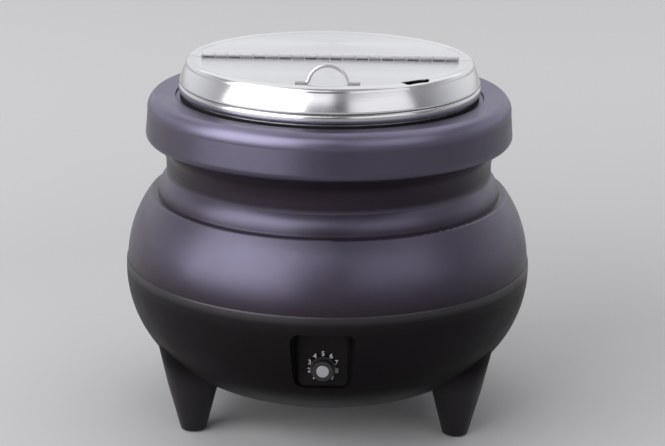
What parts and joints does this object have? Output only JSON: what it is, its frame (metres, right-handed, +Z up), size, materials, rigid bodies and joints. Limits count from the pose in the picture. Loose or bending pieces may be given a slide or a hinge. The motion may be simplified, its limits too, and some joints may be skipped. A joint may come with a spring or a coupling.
{
  "type": "soup warmer",
  "caption": "Round dark soup warmer on short legs, with a collar, a stepped belly, a front heat dial, a lift-out stainless inset and a hinged half-opening lid.",
  "frame": {"origin": "on the surface it stands on, under the middle of the round body", "axes": "+Z up along the body's axis, -Y towards the dial at the front, +X to the right seen from the front"},
  "size_m": [0.3936, 0.3936, 0.3727],
  "materials": {
    "body_black": "satin dark moulding with a violet cast",
    "bowl_black": "matt black moulding",
    "foot_rubber": "matt",
    "fixing_steel": "zinc plated",
    "dial_black": "printed dial plate",
    "knob_black": "moulded",
    "cap_silver": "spun",
    "switch_plastic": "moulded phenolic",
    "copper": "drawn",
    "pan_steel": "satin stainless",
    "inset_steel": "polished stainless",
    "lid_steel": "satin stainless",
    "hinge_steel": "satin stainless",
    "handle_steel": "polished",
    "seal_rubber": "black silicone",
    "insulation_fibre": "needled glass fibre",
    "heater_aluminium": "cast",
    "cover_black": "powder coat",
    "gland_plastic": "moulded nylon",
    "wire_brown": "insulated wire",
    "wire_blue": "insulated wire",
    "wire_green": "insulated wire"
  },
  "bodies": {
    "base": {"upper_shell": "body_black", "collar": "body_black", "lower_shell": "bowl_black", "control_housing": "bowl_black", "leg_rear": "bowl_black", "leg_front_left": "bowl_black", "leg_front_right": "bowl_black", "foot_pad_rear": "foot_rubber", "foot_pad_front_left": "foot_rubber", "foot_pad_front_right": "foot_rubber", "leg_screws": "fixing_steel", "dial_plate": "dial_black", "thermostat_lock_nut": "fixing_steel", "thermostat_body": "switch_plastic", "sensor_bulb": "copper", "bulb_clip": "fixing_steel", "water_pan": "pan_steel", "pan_seal": "seal_rubber", "insulation_sleeve": "insulation_fibre", "heating_plate": "heater_aluminium", "heater_terminals": "fixing_steel", "pan_stud": "fixing_steel", "clamp_bar": "fixing_steel", "earth_lug": "copper", "clamp_nut": "fixing_steel", "thermal_cutout": "switch_plastic", "tie_rods": "fixing_steel", "tie_nuts": "fixing_steel", "bottom_cover": "cover_black", "cover_screws": "fixing_steel", "cord_gland": "gland_plastic", "gland_nut": "gland_plastic", "terminal_block": "switch_plastic", "wire_live": "wire_brown", "wire_switched": "wire_brown", "wire_heater": "wire_brown", "wire_neutral": "wire_blue", "wire_earth": "wire_green"},
    "inset": {"inset_pot": "inset_steel"},
    "lid": {"lid_rear_half": "lid_steel", "hinge_leaf_rear": "hinge_steel", "hinge_pin": "hinge_steel"},
    "flap": {"lid_front_flap": "lid_steel", "hinge_leaf_front": "hinge_steel", "lid_handle": "handle_steel"},
    "knob": {"control_knob": "knob_black", "knob_cap": "cap_silver", "thermostat_shaft": "fixing_steel"}
  },
  "joints": [
    {"name": "inset_lift", "type": "slide", "parent": "base", "child": "inset", "axis": [0, 0, 1], "range_m": [0, 0.25]},
    {"name": "lid_lift", "type": "slide", "parent": "inset", "child": "lid", "axis": [0, 0, 1], "range_m": [0, 0.12]},
    {"name": "flap_hinge", "type": "hinge", "parent": "lid", "child": "flap", "pos_m": [0, -0.006, 0.3559], "axis": [-1, 0, 0], "range_deg": [0, 165]},
    {"name": "knob_turn", "type": "hinge", "parent": "base", "child": "knob", "pos_m": [0, -0.172, 0.1045], "axis": [0, 1, 0], "range_deg": [0, 270]}
  ]
}
